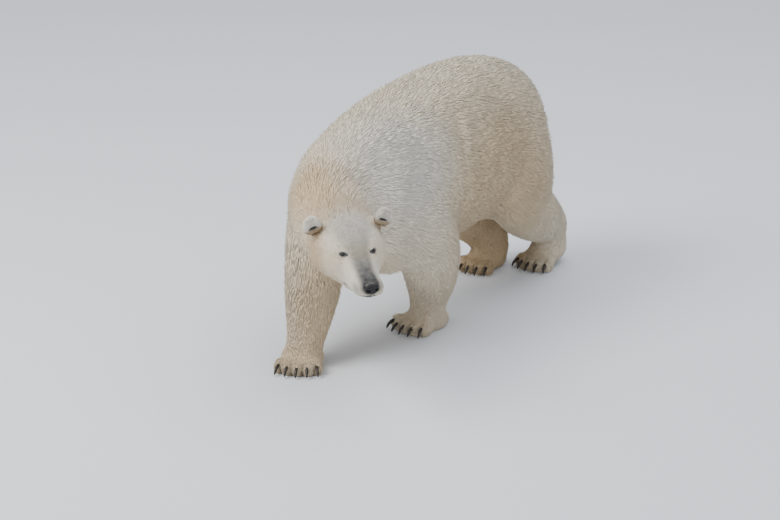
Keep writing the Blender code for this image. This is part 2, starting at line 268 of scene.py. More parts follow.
for region in (on_skull, on_face):
    edit_faces(skin, region(np.array([polygon.center[:] for polygon in skin.data.polygons])))
    bpy.ops.mesh.subdivide(number_cuts=1, smoothness=0.6)
    bpy.ops.mesh.select_all(action="DESELECT")
    bpy.ops.object.mode_set(mode="OBJECT")

# ---- Face ----
# The hide of the face is drawn over the bones: a stop below the forehead, hollows before the eyes,
# swollen lips with the whisker beds, and a narrow lower jaw behind them.

MOUTH = ((-0.352, -0.044), (-0.335, -0.049), (-0.300, -0.054), (-0.250, -0.060), (-0.205, -0.057))  # y and z
MOUTH_CORNER = MOUTH[-1][0]


def pushed(points, middle_at, radii, move):
    """Points near a place moved by up to a given way, as by a thumb."""
    for side in (-1, 1):
        away = np.linalg.norm((points - np.array(middle_at) * (side, 1, 1)) / np.array(radii), axis=1)
        points = points + ((1 - np.clip(away, 0, 1) ** 2) ** 2)[:, None] * np.array(move) * (side, 1, 1)
    return points


def from_head(points):
    return points @ np.array(HEAD)[:3, :3].T + np.array(HEAD)[:3, 3]


face = in_head(points_of(skin.data))
jaw = step(-0.17, -0.25, face[:, 1]) * (np.linalg.norm(face, axis=1) < 0.5) * (face[:, 1] > -0.5)
mouth_z = np.interp(face[:, 1], *zip(*MOUTH))
below = step(0.003, -0.005, face[:, 2] - mouth_z) * jaw
face[:, 0] *= 1 - 0.15 * below
face[:, 1] += 0.012 * below * step(-0.24, -0.33, face[:, 1])
face[:, 2] += 0.12 * (mouth_z - face[:, 2]) * below
crease = np.exp(-(((face[:, 2] - mouth_z) / 0.0035) ** 2))
near_mouth = crease * jaw * step(MOUTH_CORNER + 0.01, MOUTH_CORNER - 0.03, face[:, 1])
face[:, 0] -= np.sign(face[:, 0]) * 0.004 * near_mouth * step(0.0, 0.02, np.abs(face[:, 0]))
face[:, 1] += 0.004 * near_mouth * step(-0.32, -0.34, face[:, 1])
for middle_at, radii, move in (
    ((0.040, -0.305, -0.030), (0.034, 0.050, 0.028), (0.0035, -0.001, 0)),  # whisker beds
    ((0.034, -0.165, 0.020), (0.024, 0.034, 0.030), (-0.0035, 0.0, -0.0035)),  # hollows before the eyes
    ((0.062, -0.128, 0.052), (0.030, 0.030, 0.020), (0.002, -0.002, 0.0035)),  # brows
    ((0.066, -0.160, 0.012), (0.026, 0.026, 0.018), (0.002, -0.002, 0.001)),  # cheekbones
    ((0.053, -0.152, 0.037), (0.030, 0.034, 0.030), (0.0017, -0.0021, 0.0014)),  # mounds round the eyes
    ((0.030, 0.030, 0.105), (0.100, 0.090, 0.060), (0.001, 0.001, 0.0055)),  # crown
):
    face = pushed(face, middle_at, radii, move)
set_points(skin.data, from_head(face))
soft_face = skin.modifiers.new("soft_face", "SMOOTH")
soft_face.iterations = 1
soft_face.factor = 0.3
apply_modifiers(skin)

# ---- Shoulder ----
# The left shoulder blade is thrust back by the planted leg. The loose hide behind it gathers in one
# shallow fold, which runs from the withers down towards the elbow.

FOLD = (
    (0.077, 0.052, 0.903),
    (0.128, 0.020, 0.843),
    (0.178, 0.000, 0.759),
    (0.200, 0.005, 0.664),
    (0.195, 0.045, 0.530),
)
FOLD_DEPTH = 0.016
FOLD_HALF = 0.034

body = points_of(skin.data)
body_normals = normals_of(skin.data)
from_fold = np.full(len(body), 1.0)
for one, other in zip(FOLD, FOLD[1:]):
    start = np.array(one)
    run = np.array(other) - start
    t = np.clip((body - start) @ run / (run @ run), 0, 1)
    from_fold = np.minimum(from_fold, np.linalg.norm(body - start - t[:, None] * run, axis=1))
fold = np.exp(-((from_fold / FOLD_HALF) ** 2)) * step(0.95, 0.80, body[:, 2]) * step(0.46, 0.60, body[:, 2])
set_points(skin.data, body - body_normals * (FOLD_DEPTH * fold)[:, None])

# ---- Toes ----
# Five broad toes lie side by side at the front of each paw, with deep furred clefts between them. The
# clefts start between the claws and run out on the back of the paw.

TOE_CLEFT = (0.0060, 0.0090)  # half width and depth
TOE_LENGTH = 0.060
PAW_TOP = 0.088  # the hide is finer below this height


def toe_clefts(points):
    """How near points are to the clefts between the toes, from 0 to 1."""
    found = np.zeros(len(points))
    for paw in paws:
        claws = [np.array(middle(paw.replace("paw", "claw") + f"_{number}")) for number in range(1, 6)]
        across = (claws[-1] - claws[0]) * (1, 1, 0)
        across /= np.linalg.norm(across)
        ahead = np.cross((0, 0, 1), across)
        ahead *= math.copysign(1, (claws[2] - np.array(middle(paw))) @ ahead)
        for one, other in zip(claws, claws[1:]):
            away = points - (one + other) / 2
            near = np.exp(-((away @ across) / TOE_CLEFT[0]) ** 2) * (np.linalg.norm(away, axis=1) < 0.09)
            found = np.maximum(found, near * step(-TOE_LENGTH, -0.4 * TOE_LENGTH, away @ ahead))
    return found


edit_faces(skin, np.array([polygon.center.z < PAW_TOP for polygon in skin.data.polygons]))
bpy.ops.mesh.subdivide(number_cuts=1, smoothness=0.6)
bpy.ops.mesh.select_all(action="DESELECT")
bpy.ops.object.mode_set(mode="OBJECT")
feet = points_of(skin.data)
foot_normals = normals_of(skin.data)
cleft = toe_clefts(feet) * step(-0.75, -0.25, foot_normals[:, 2])
set_points(skin.data, feet - foot_normals * (TOE_CLEFT[1] * cleft)[:, None])

# ---- Eyelids ----
# Two lids of thin dark hide over each eye, which meet in a point at both corners. Short hair grows
# on them up to a bare leathery margin.

LID_RADIUS = 0.0133
LID_SEAT = 0.0120  # where the margin turns in to touch the eye
LID_MARGIN = (
    # share of the opening and radius, of the rings that turn the lids' edge in
    (0.98, LID_SEAT),
    (0.95, 0.5 * LID_SEAT + 0.5 * LID_RADIUS),
    (1.0, LID_RADIUS),
)
LID_RIM = 0.0004  # how far the lids swell beside their edge
LID_OPENING = (math.radians(64), math.radians(33))  # from the gaze to the corners, and up or down
LID_POINTED = 1.55  # 2 would leave an oval between the lids
LID_ROUND = 64
LID_RINGS = 30
EYE_DARK = (0.0225, 0.0165, 0.0090)  # the bare dark hide's reach to the inner and outer corners and up
GAZE = (0.56, -0.70, 0.44)  # of the left eye, in the head's axes
INNER_CORNER = (-0.79, -0.61, -0.06)


def lid_opening(around):
    """The angle from the gaze to the lids' edge, at an angle round the gaze from the inner corner."""
    along, across = (np.abs(part) / half for part, half in zip((np.cos(around), np.sin(around)), LID_OPENING))
    return (along**LID_POINTED + across**LID_POINTED) ** (-1 / LID_POINTED)


def join_to_skin(piece, region):
    """Makes a piece part of the hide and remembers how many points it brings."""
    joined.append((region, len(piece.data.vertices)))
    bpy.ops.object.select_all(action="DESELECT")
    piece.select_set(True)
    skin.select_set(True)
    bpy.context.view_layer.objects.active = skin
    bpy.ops.object.join()


joined = []
EYES = {}
for side, word in ((-1, "right"), (1, "left")):
    gaze = Vector((side * GAZE[0], GAZE[1], GAZE[2])).normalized()
    inner = Vector((side * INNER_CORNER[0], INNER_CORNER[1], INNER_CORNER[2]))
    inner = (inner - gaze * inner.dot(gaze)).normalized()
    turned = HEAD.to_3x3() @ Matrix((inner, gaze.cross(inner), gaze)).transposed()
    EYES[word] = Matrix.Translation(eyes[word]) @ turned.to_4x4()
    bpy.ops.mesh.primitive_uv_sphere_add(segments=LID_ROUND, ring_count=LID_RINGS, radius=1)
    lid = bpy.context.object
    lid.name = "lids_" + word
    bpy.ops.object.mode_set(mode="EDIT")
    bpy.ops.mesh.select_mode(type="VERT")
    bpy.ops.mesh.select_all(action="DESELECT")
    bpy.ops.object.mode_set(mode="OBJECT")
    for vert in lid.data.vertices:
        vert.select = vert.co.z > 0.9999
    bpy.ops.object.mode_set(mode="EDIT")
    bpy.ops.mesh.delete(type="VERT")
    bpy.ops.object.mode_set(mode="OBJECT")
    for vert in lid.data.vertices:
        ring = LID_RINGS * math.acos(max(-1, min(1, vert.co.z))) / math.pi
        around = math.atan2(vert.co.y, vert.co.x)
        edge = float(lid_opening(around))
        if round(ring) <= len(LID_MARGIN):
            share, radius = LID_MARGIN[round(ring) - 1]
            angle = edge * share
        else:
            past_margin = ring - len(LID_MARGIN)
            angle = edge + (math.pi - edge) * past_margin / (LID_RINGS - len(LID_MARGIN))
            radius = LID_RADIUS + LID_RIM * math.exp(-((angle / edge - 1.15) / 0.12) ** 2)
        outward = math.sin(angle) * Vector((math.cos(around), math.sin(around), 0))
        vert.co = EYES[word] @ (radius * (outward + Vector((0, 0, math.cos(angle)))))
    join_to_skin(lid, "lid_" + word)


def in_eye(points, word):
    """Points in an eye's own axes: x to the inner corner, y across the lids and z along the gaze."""
    back_to_eye = np.array(EYES[word].inverted())
    return points @ back_to_eye[:3, :3].T + back_to_eye[:3, 3]


# ---- Ears ----
# Two small round cups of hide, set wide apart on the back of the skull and open forwards. Pale fluff
# fills them down to a dark slit low in each, painted as the shade in the ear's opening, and tan is
# painted below the slit as the shade at the ear's foot.

EAR_HALF = (0.0275, 0.0150, 0.0265)
EAR_CUP = 0.004  # how far the rim curls forwards
EAR_ROOT = (0.48, 0.22)  # how much wider and longer the ear is at its foot than an oval
EAR_HOLLOW = (0.010, 0.22)  # depth below the rim, and how much lower than the middle it lies
EAR_HOLLOW_HALF = (0.72, 0.62)  # in halves of the ear
# Out, back and up from the mean of the CAD ear's corners; the right ear is carried a little lower.
EAR_MIDDLE = {"right": (-0.001, 0.011, -0.007), "left": (0.005, 0.011, -0.002)}
EAR_TURN = math.radians(8)
EAR_TIP = math.radians(2)
EAR_LEAN = math.radians(22)
EAR_SLIT = (0.06, -0.44)  # outwards and up from the middle, in halves of the ear
EAR_SLIT_HALF = (0.74, 0.24)
EAR_SLIT_BARE = (0.95, 0.50)  # half of the short-haired place round it
EAR_FLUFF = (-0.95, -0.40)  # the heights between which the painted shade below the slit turns to fluff
EAR_SLIT_DEEP = 0.005


def slit_of_ear(wide, tall, side):
    """1 in the dark slit of an ear and 0 outside it."""
    away = np.hypot((wide * side - EAR_SLIT[0]) / EAR_SLIT_HALF[0], (tall - EAR_SLIT[1]) / EAR_SLIT_HALF[1])
    return step(1.0, 0.75, away)


EARS = {}
for side, word in ((-1, "right"), (1, "left")):
    bpy.ops.mesh.primitive_uv_sphere_add(segments=50, ring_count=32, radius=1)
    ear = bpy.context.object
    ear.name = "ear_hide_" + word
    turned = (
        Matrix.Rotation(side * EAR_TURN, 4, "Z")
        @ Matrix.Rotation(EAR_TIP, 4, "X")
        @ Matrix.Rotation(side * EAR_LEAN, 4, "Y")
    )
    turned = HEAD.to_3x3().to_4x4() @ turned
    out, back, up = EAR_MIDDLE[word]
    turned.translation = middle("ear_" + word) + turned.to_3x3() @ Vector((side * out, back, up))
    EARS[word] = turned
    for vert in ear.data.vertices:
        wide, thick, tall = vert.co
        rim = wide**2 + tall**2
        deep = EAR_HALF[1] * thick - EAR_CUP * rim
        wider, longer = (1 + root * max(0, -tall) for root in EAR_ROOT)
        if thick < 0:
            in_hollow = math.hypot(wide / EAR_HOLLOW_HALF[0], (tall + EAR_HOLLOW[1]) / EAR_HOLLOW_HALF[1])
            deep += EAR_HOLLOW[0] * float(step(1.0, 0.2, in_hollow))
            deep += EAR_SLIT_DEEP * float(slit_of_ear(wide, tall, side))
        vert.co = turned @ Vector((EAR_HALF[0] * wide * wider, deep, EAR_HALF[2] * tall * longer))
    join_to_skin(ear, "ear_" + word)

skin_points = points_of(skin.data)
skin_edges = edges_of(skin.data)
nearest_nodes = [triangle_nodes[flesh_tree.find_nearest(Vector(point))[2]] for point in skin_points]
skin_regions = np.array(nearest_nodes, dtype="U24")
start = len(skin_points) - sum(count for region, count in joined)
for region, count in joined:
    skin_regions[start:start + count] = region
    start += count


def in_ear(points, word):
    """Points in an ear's own axes: x across, y back and z up, in half widths of the ear."""
    back_to_ear = np.array(EARS[word].inverted())
    return (points @ back_to_ear[:3, :3].T + back_to_ear[:3, 3]) / np.array(EAR_HALF)


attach(skin, "root")
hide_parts(*flesh_nodes, "ear_left", "ear_right")

# ---- Lie of the coat ----
# The hair grows from the nose back over the head and the neck, then back and down over the trunk,
# down each leg and forward over each paw to the claws.

HAIR_DROOP = Vector((0, 0, -0.42))


def slice_middle(node, low, high):
    """The middle of a node between two shares of its height."""
    base, top = (corner.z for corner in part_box(node))
    inside = [
        vert.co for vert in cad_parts[node].data.vertices
        if low <= (vert.co.z - base) / (top - base) <= high
    ]
    return sum(inside, Vector()) / len(inside)


trunk_low, trunk_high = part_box("trunk")
trunk_middle = (trunk_low + trunk_high) / 2
shoulders = Vector((trunk_middle.x, trunk_low.y + 0.28, trunk_middle.z + 0.02))
rump = Vector((trunk_middle.x, trunk_high.y - 0.30, trunk_middle.z + 0.02))
lies = [
    # start, end, how far round it the hair follows it, and how much it droops
    (middle("nose"), HEAD.translation, 0.055, 0.1),
    (HEAD.translation, middle("neck"), 0.13, 0.3),
    (middle("neck"), shoulders, 0.18, 0.7),
    (shoulders, rump, 0.30, 1.0),
    (slice_middle("tail", 0.8, 1.0), slice_middle("tail", 0.0, 0.2), 0.03, 0.0),
]
for leg, paw in zip(legs, paws):
    ankle = slice_middle(leg, 0.0, 0.12)
    claws = [middle(name) for name in sorted(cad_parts) if name.startswith(paw.replace("paw", "claw"))]
    lies.append((slice_middle(leg, 0.8, 1.0), ankle, 0.11, 0.0))
    lies.append((ankle, sum(claws, Vector()) / len(claws), 0.07, 0.0))

skin_points = points_of(skin.data)
skin_normals = spread(normals_of(skin.data), skin_edges, 2)
skin_normals /= np.linalg.norm(skin_normals, axis=1)[:, None]


def flattened(vectors, normals):
    """Vectors turned into the surface, each of length 1."""
    flat = vectors - normals * (vectors * normals).sum(1)[:, None]
    return flat / np.maximum(np.linalg.norm(flat, axis=1), 1e-6)[:, None]


skin_lie = np.zeros_like(skin_points)
for start, end, reach, droop in lies:
    along = np.array(end - start)
    t = np.clip((skin_points - np.array(start)) @ along / (along @ along), 0, 1)
    away = np.linalg.norm(skin_points - np.array(start) - t[:, None] * along, axis=1)
    way = np.array((end - start).normalized() + HAIR_DROOP * droop)
    skin_lie += way * ((reach / np.maximum(away, 0.01)) ** 4)[:, None]
skin_lie = spread(flattened(skin_lie, skin_normals), skin_edges, 40)
for eye in EYES.values():
    from_eye = skin_points - np.array(eye.translation)
    away = np.linalg.norm(from_eye, axis=1)
    gaze = np.array(eye)[:3, 2]
    outward = from_eye - (from_eye @ gaze)[:, None] * gaze
    outward /= np.maximum(np.linalg.norm(outward, axis=1), 1e-6)[:, None]
    skin_lie += outward * (2.6 * step(0.034, 0.0135, away))[:, None]
for word in EARS:
    on_ear = skin_regions == "ear_" + word
    place = in_ear(skin_points[on_ear], word)
    outward = np.stack([0.7 * place[:, 0], np.full(len(place), -0.25), np.full(len(place), 0.9)], axis=1)
    skin_lie[on_ear] = outward @ np.array(EARS[word])[:3, :3].T
skin_lie = flattened(skin_lie, skin_normals)

# ---- Markings and painted shade ----
# A cream coat that is greyer over the withers, the left shoulder and the brow, tan on the neck, the flanks
# and the legs, and thin over the dark hide of the muzzle, the lips and the eye rims. Tan is also painted
# as shade under the jaw and round the ears, and dark as shade in the clefts of the toes and the ears' slits.

MARK_PLACES = {
    "grey": (
        (Vector((0.10, -0.38, 0.80)), (0.24, 0.30, 0.30), 1.0),  # left shoulder and withers
        (HEAD @ Vector((0.0, -0.08, 0.10)), (0.11, 0.14, 0.09), 0.9),  # brow
        (HEAD @ Vector((0.0, -0.27, -0.01)), (0.09, 0.14, 0.07), 0.9),  # muzzle
    ),
    "tan": (
        (Vector((0.18, 0.26, 0.50)), (0.30, 0.44, 0.46), 0.78),  # left flank and thigh
        (Vector((-0.07, -0.50, 0.20)), (0.22, 0.26, 0.36), 0.75),  # front right leg
        (Vector((-0.17, -0.64, 0.03)), (0.13, 0.16, 0.12), 0.6),  # its paw
        (Vector((0.10, -0.22, 0.12)), (0.25, 0.36, 0.22), 0.22),  # front left leg
        (Vector((-0.12, 0.66, 0.12)), (0.20, 0.30, 0.30), 0.9),  # hind right leg
        (Vector((-0.02, -0.66, 0.72)), (0.18, 0.18, 0.16), 0.8),  # nape
        (HEAD @ Vector((-0.12, -0.02, -0.02)), (0.09, 0.13, 0.09), 0.7),  # right cheek
        (HEAD @ Vector((-0.122, -0.035, 0.055)), (0.024, 0.036, 0.036), 0.9),  # below the right ear
        # painted shadow between the right ear and the crown
        (HEAD @ Vector((-0.098, 0.000, 0.100)), (0.022, 0.034, 0.036), 0.9),  # beside it
        # painted shade at the inner foot of the left ear
        (HEAD @ Vector((0.120, -0.020, 0.065)), (0.018, 0.030, 0.028), 0.7),  # below the left ear
        # painted shade under the jaw, on the throat
        (HEAD @ Vector((0.0, -0.05, -0.13)), (0.14, 0.20, 0.07), 0.8),  # throat
    ),
    "pale": (
        (HEAD @ Vector((-0.05, -0.22, -0.02)), (0.05, 0.10, 0.06), 0.3),  # side of the muzzle
    ),
    "rippled": (
        (Vector((0.17, 0.10, 0.66)), (0.20, 0.34, 0.26), 1.0),  # left flank
    ),
}
BRIDGE = (
    # y in the head's axes, half width and strength of the dark down the muzzle and the brow
    (-0.350, 0.036, 1.00),
    (-0.300, 0.033, 0.90),
    (-0.250, 0.031, 0.84),
    (-0.205, 0.034, 0.66),
    (-0.165, 0.037, 0.52),
    (-0.110, 0.056, 0.40),
    (-0.030, 0.080, 0.32),
    (0.060, 0.085, 0.16),
    (0.120, 0.080, 0.00),
)
BRIDGE_MOTTLE = 0.013  # size of the blotches in it
LIP_DARK = 0.006  # how far the dark of the lips shows round the mouth
LIP_PATCH_AT = (0.044, -0.312, -0.026)  # thin hair beside the nose
LIP_PATCH_HALF = (0.018, 0.034, 0.021)
LIP_PATCH_DARK = 0.42
SOLE_DARK = 0.9
# painted shade in the clefts between the toes
CLEFT_PAINTED_SHADE = 0.55


def marked(points, kind):
    """How strong a marking, painted shade among them, is at points of the hide, from 0 to 1."""
    found = np.zeros(len(points))
    for at, radii, strength in MARK_PLACES[kind]:
        away = np.linalg.norm((points - np.array(at)) / np.array(radii), axis=1)
        found = np.maximum(found, strength * step(1.25, 0.40, away))
    return found


skin_tints = {kind: marked(skin_points, kind) for kind in ("grey", "tan", "pale")}
face = in_head(skin_points)
on_face_skin = np.linalg.norm(face, axis=1) < SKULL_REACH
along, half, strength = (np.array(column) for column in zip(*BRIDGE))
half = np.interp(face[:, 1], along, half)
blotches = np.array([noise.noise(Vector(point) / BRIDGE_MOTTLE) for point in skin_points])
bridge = np.interp(face[:, 1], along, strength) * step(1.40 * half, 0.60 * half, np.abs(face[:, 0]))
bridge *= step(0.0, 0.5, skin_normals @ np.array(head_up)) * on_face_skin * (0.98 + 0.14 * blotches)
lip = np.abs(face[:, 2] - np.interp(face[:, 1], *zip(*MOUTH)) - 0.001)
lip_dark = step(LIP_DARK, 0.3 * LIP_DARK, lip) * step(MOUTH_CORNER + 0.02, MOUTH_CORNER, face[:, 1])
lip_dark *= on_face_skin & (np.abs(face[:, 0]) < 0.09)
soles = SOLE_DARK * step(-0.6, -0.8, skin_normals[:, 2]) * np.isin(skin_regions, paws)
# Painted shade in the clefts between the toes, low on each paw.
cleft = CLEFT_PAINTED_SHADE * toe_clefts(skin_points) * step(0.10, 0.06, skin_points[:, 2])
cleft *= np.isin(skin_regions, paws)
lip_patch = face.copy()
lip_patch[:, 0] = np.abs(face[:, 0])
lip_patch = np.linalg.norm((lip_patch - np.array(LIP_PATCH_AT)) / np.array(LIP_PATCH_HALF), axis=1)
lip_patch = LIP_PATCH_DARK * step(1.25, 0.1, lip_patch)
skin_tints["dark"] = np.clip(np.max([bridge, lip_dark, lip_patch, soles, cleft], axis=0), 0, 1)
bare = np.zeros(len(skin_points))
for side, word in ((-1, "right"), (1, "left")):
    place = in_eye(skin_points, word)
    away = np.linalg.norm(place, axis=1)
    along = np.abs(place[:, 0]) / np.where(place[:, 0] > 0, EYE_DARK[0], EYE_DARK[1])
    almond = along**LID_POINTED + (np.abs(place[:, 1]) / EYE_DARK[2]) ** LID_POINTED
    margin = step(1.35, 0.95, almond) * (away < 0.024) * (place[:, 2] > 0)
    in_cup = in_ear(skin_points, word)
    front = step(0.1, -0.3, skin_normals @ np.array(EARS[word])[:3, 1])
    on_ear = skin_regions == "ear_" + word
    # The slit's dark is painted shade of the ear's opening.
    slit = on_ear * front * slit_of_ear(in_cup[:, 0], in_cup[:, 2], side)
    fluff = step(*EAR_FLUFF, in_cup[:, 2])
    skin_tints["pale"][on_ear] = fluff[on_ear]
    # Tan painted below the slit, as the shade at the ear's foot.
    skin_tints["tan"][on_ear] = 0.85 * (1 - fluff[on_ear])
    skin_tints["dark"] = np.max([skin_tints["dark"], margin, slit], axis=0)
    hidden = (skin_regions == "lid_" + word) & (place[:, 2] < -0.3 * away)
    bare = np.max([bare, margin, slit, hidden, (skin_regions == "head") & (away < LID_RADIUS)], axis=0)
for kind, value in skin_tints.items():
    given = skin.data.attributes.new(kind, "FLOAT", "POINT")
    given.data.foreach_set("value", value.astype(np.float32))


def group_socket(group, name, kind, into):
    return group.interface.new_socket(name=name, in_out=into, socket_type=kind)


def node_of(tree, kind, **settings):
    made = tree.nodes.new(kind)
    for name, value in settings.items():
        setattr(made, name, value)
    return made


def mixed(tree, share, first, second, blend_type="MIX"):
    """A colour mix; each input is a socket or a plain value."""
    mix = node_of(tree, "ShaderNodeMix", data_type="RGBA", blend_type=blend_type)
    for place, value in ((0, share), (6, first), (7, second)):
        if isinstance(value, bpy.types.NodeSocket):
            tree.links.new(value, mix.inputs[place])
        else:
            mix.inputs[place].default_value = value
    return mix.outputs[2]


def scaled(tree, value, factor, offset=0.0):
    """A value times a factor, plus an offset."""
    maths = node_of(tree, "ShaderNodeMath", operation="MULTIPLY_ADD")
    tree.links.new(value, maths.inputs[0])
    maths.inputs[1].default_value = factor
    maths.inputs[2].default_value = offset
    return maths.outputs[0]


CREAM = (0.81, 0.71, 0.545, 1)
GREY = (0.81, 0.765, 0.68, 1)
TAN = (0.62, 0.46, 0.28, 1)
PALE = (0.93, 0.88, 0.79, 1)
DARK = (0.057, 0.060, 0.066, 1)

bear_tints = bpy.data.node_groups.new("bear_tints", "ShaderNodeTree")
group_socket(bear_tints, "Color", "NodeSocketColor", "OUTPUT")
group_socket(bear_tints, "Mottle", "NodeSocketFloat", "OUTPUT")
places = node_of(bear_tints, "ShaderNodeTexCoord")
mottle = node_of(bear_tints, "ShaderNodeTexNoise")
mottle.inputs["Scale"].default_value = 9
mottle.inputs["Detail"].default_value = 5
bear_tints.links.new(places.outputs["Object"], mottle.inputs["Vector"])
colour = CREAM
for kind, tint in (("tan", TAN), ("grey", GREY), ("pale", PALE), ("dark", DARK)):
    given = node_of(bear_tints, "ShaderNodeAttribute", attribute_name=kind)
    colour = mixed(bear_tints, given.outputs["Fac"], colour, tint)
shade = scaled(bear_tints, mottle.outputs["Fac"], 0.30, 0.85)
shade_colour = node_of(bear_tints, "ShaderNodeCombineColor")
for channel in range(3):
    bear_tints.links.new(shade, shade_colour.inputs[channel])
output = node_of(bear_tints, "NodeGroupOutput")
colour = mixed(bear_tints, 1.0, colour, shade_colour.outputs[0], "MULTIPLY")
bear_tints.links.new(colour, output.inputs["Color"])
bear_tints.links.new(mottle.outputs["Fac"], output.inputs["Mottle"])

skin_material = bpy.data.materials.new("bear_hide")
skin_material.use_nodes = True
tree = skin_material.node_tree
surface = tree.nodes["Principled BSDF"]
tints = node_of(tree, "ShaderNodeGroup", node_tree=bear_tints)
tree.links.new(tints.outputs["Color"], surface.inputs["Base Color"])
surface.inputs["Roughness"].default_value = 0.65
surface.inputs["Specular IOR Level"].default_value = 0.3
fuzz = node_of(tree, "ShaderNodeTexNoise")
fuzz.inputs["Scale"].default_value = 520
fuzz.inputs["Detail"].default_value = 2
places = node_of(tree, "ShaderNodeTexCoord")
tree.links.new(places.outputs["Object"], fuzz.inputs["Vector"])
bump = node_of(tree, "ShaderNodeBump")
bump.inputs["Strength"].default_value = 0.5
bump.inputs["Distance"].default_value = 0.001
tree.links.new(fuzz.outputs["Fac"], bump.inputs["Height"])
tree.links.new(bump.outputs["Normal"], surface.inputs["Normal"])
skin.data.materials.clear()
skin.data.materials.append(skin_material)
skin.data.shade_smooth()

# ---- Tufts ----
# Each tuft is a three-sided blade of matted guard hair, flat below and ridged above, that rises from
# the skin, bends over and tapers to a point. Near tufts lean together into locks.

TUFT_LENGTH = (0.0045, 2.1)  # a base, and what each metre of coat depth adds
TUFT_WIDTH = 1.38  # as a share of the spacing
TUFT_RIDGE = 0.18  # height, as a share of the width
MID_SHARE = 0.40  # how far along a tuft it is widest and bends over
ROOT_SINK = 0.0015
SWAY = 0.30
BODY_SPACING = 0.0045
PAW_SPACING = 0.0039
HEAD_SPACING = ((-0.36, 0.0019), (-0.20, 0.0022), (-0.08, 0.0028), (0.05, 0.0036))
EAR_SPACING = 0.0021
LID_SPACING = 0.0016
LID_DEPTH = 0.0004
EYE_COAT = 0.0006  # depth of the short hair close round the eyes
EAR_DEPTH = 0.0060
TUFT_RISE = math.radians(22)
TUFT_BEND = math.radians(4)
LOCK_SPACING = 0.020
LOCK_PULL = (0.08, 0.50)  # smooth coat, and the rippled left flank
FLOOR_CLEARANCE = 0.0006
SOFT_SHADING = 0.78  # how far the shading of a tuft follows the hide under it

PATCH = 0.003  # width of a tuft's place on the coat's map
PATCH_POINTS = ((0, -0.5), (-0.35, -0.1), (0.35, -0.1), (0, 0.05), (0, 0.5))  # root, ring and tip, in patches
TUFT_FACES = ((0, 2, 1), (0, 3, 2), (0, 1, 3), (4, 1, 2), (4, 2, 3), (4, 3, 1))

skin.data.calc_loop_triangles()
skin_triangles = np.empty(len(skin.data.loop_triangles) * 3, np.int32)
skin.data.loop_triangles.foreach_get("vertices", skin_triangles)
skin_triangles = skin_triangles.reshape(-1, 3)
coat_deep = spread(coat_depth(skin_points, skin_regions), skin_edges, 24)[:, 0]
on_ears = np.isin(skin_regions, ("ear_left", "ear_right"))
coat_deep[on_ears] = EAR_DEPTH
for side, word in ((-1, "right"), (1, "left")):
    place = in_ear(skin_points, word)
    across, up = place[:, 0] * side - EAR_SLIT[0], place[:, 2] - EAR_SLIT[1]
    by_slit = np.hypot(across / EAR_SLIT_BARE[0], up / EAR_SLIT_BARE[1])
    coat_deep -= (EAR_DEPTH - LID_DEPTH) * (skin_regions == "ear_" + word) * step(1.15, 0.75, by_slit)
on_lids = np.isin(skin_regions, ("lid_left", "lid_right"))
for word in EYES:
    from_eye = np.linalg.norm(in_eye(skin_points, word), axis=1)
    coat_deep += (EYE_COAT - coat_deep) * step(0.038, 0.016, from_eye)
coat_deep[on_lids] = LID_DEPTH
tuft_spacing = np.full(len(skin_points), BODY_SPACING)
tuft_spacing[np.isin(skin_regions, paws)] = PAW_SPACING
on_skull_skin = skin_regions == "head"
tuft_spacing[on_skull_skin] = np.interp(in_head(skin_points[on_skull_skin])[:, 1], *zip(*HEAD_SPACING))
tuft_spacing = spread(tuft_spacing, skin_edges, 6)[:, 0]
tuft_spacing[on_ears] = EAR_SPACING
tuft_spacing[on_lids] = LID_SPACING
lock_marks = marked(skin_points, "rippled")


def scattered(chosen, spacing, rng):
    """Evenly strewn points on the chosen triangles: their triangles, weights and places in the choice."""
    a, b, c = (skin_points[skin_triangles[chosen, corner]] for corner in range(3))
    area = np.linalg.norm(np.cross(b - a, c - a), axis=1) / 2
    local = spacing[skin_triangles[chosen]].mean(1)
    expected = 5 * area / local**2
    count = np.floor(expected + rng.random(len(chosen))).astype(int)
    at = np.repeat(np.arange(len(chosen)), count)
    rng.shuffle(at)
    u, v = rng.random((2, len(at)))
    over = u + v > 1
    u[over], v[over] = 1 - u[over], 1 - v[over]
    weights = np.stack([1 - u - v, u, v], axis=1)
    points = a[at] * weights[:, :1] + b[at] * weights[:, 1:2] + c[at] * weights[:, 2:]
    level = np.round(np.log(local[at]) / math.log(1.2))
    cell = np.floor(points / (1.2**level * 1.12)[:, None]).astype(np.int64)
    key = ((cell[:, 0] * 8191 + cell[:, 1]) * 8191 + cell[:, 2]) * 64 + level.astype(np.int64)
    kept = np.unique(key, return_index=True)[1]
    return chosen[at[kept]], weights[kept], at[kept]


def blend(values, triangles_at, weights):
    """Values of the skin's points at places in its triangles."""
    corners_of = values[skin_triangles[triangles_at]]
    if corners_of.ndim == 2:
        return (corners_of * weights).sum(1)
    return (corners_of * weights[:, :, None]).sum(1)


def unwrapped(chosen):
    """Where the corners of the chosen triangles lie on an unwrap of that part of the hide."""
    used, corners = np.unique(skin_triangles[chosen], return_inverse=True)
    flat = bpy.data.meshes.new("unwrap")
    flat.from_pydata(skin_points[used].tolist(), [], corners.reshape(-1, 3).tolist())
    thing = bpy.data.objects.new("unwrap", flat)
    bpy.context.scene.collection.objects.link(thing)
    edit_faces(thing, np.ones(len(chosen), bool))
    bpy.ops.uv.smart_project(angle_limit=math.radians(66), island_margin=0.004)
    bpy.ops.object.mode_set(mode="OBJECT")
    places = np.empty(len(chosen) * 6, np.float32)
    flat.uv_layers.active.uv.foreach_get("vector", places)
    bpy.data.objects.remove(thing)
    bpy.data.meshes.remove(flat)
    return places.reshape(-1, 3, 2)


